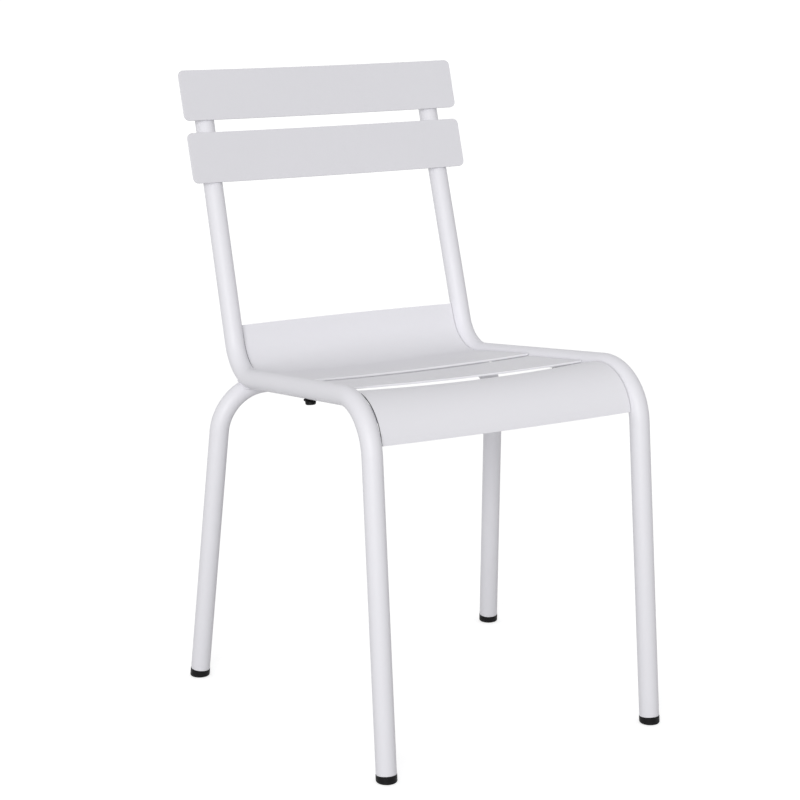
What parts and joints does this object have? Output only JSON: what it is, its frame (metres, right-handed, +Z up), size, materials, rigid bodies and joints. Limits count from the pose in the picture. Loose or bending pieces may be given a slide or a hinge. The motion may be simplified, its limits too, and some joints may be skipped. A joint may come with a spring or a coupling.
{
  "type": "metal outdoor chair",
  "caption": "Armless metal garden chair with bent-tube side frames, an arched rear-leg tube, slatted seat and back, plastic foot caps and stacking pads.",
  "frame": {"origin": "On the floor, under the middle of the chair's bounding box.", "axes": "+Z is up, -Y is the way the chair faces, +X is to the right as seen from the front."},
  "size_m": [0.4814, 0.558, 0.7948],
  "materials": {
    "coat_white": "satin powder coat",
    "plastic_black": "matte moulded plastic"
  },
  "bodies": {
    "root": {"back_slat_lower": "coat_white", "back_slat_upper": "coat_white", "front_foot_cap_left": "plastic_black", "front_foot_cap_right": "plastic_black", "rear_foot_cap_left": "plastic_black", "rear_foot_cap_right": "plastic_black", "rear_leg_arch": "coat_white", "seat_slat_front": "coat_white", "seat_slat_middle": "coat_white", "seat_slat_rear": "coat_white", "side_frame_left": "coat_white", "side_frame_right": "coat_white", "stacking_pad_left": "plastic_black", "stacking_pad_right": "plastic_black", "upright_plug_left": "plastic_black", "upright_plug_right": "plastic_black", "weld_arch_left_front": "coat_white", "weld_arch_left_rear": "coat_white", "weld_arch_right_front": "coat_white", "weld_arch_right_rear": "coat_white", "weld_back_lower_left_inner": "coat_white", "weld_back_lower_left_outer": "coat_white", "weld_back_lower_right_inner": "coat_white", "weld_back_lower_right_outer": "coat_white", "weld_back_upper_left_inner": "coat_white", "weld_back_upper_left_outer": "coat_white", "weld_back_upper_right_inner": "coat_white", "weld_back_upper_right_outer": "coat_white", "weld_seat_front_left": "coat_white", "weld_seat_front_right": "coat_white", "weld_seat_middle_left": "coat_white", "weld_seat_middle_right": "coat_white", "weld_seat_rear_left": "coat_white", "weld_seat_rear_right": "coat_white"}
  },
  "joints": []
}
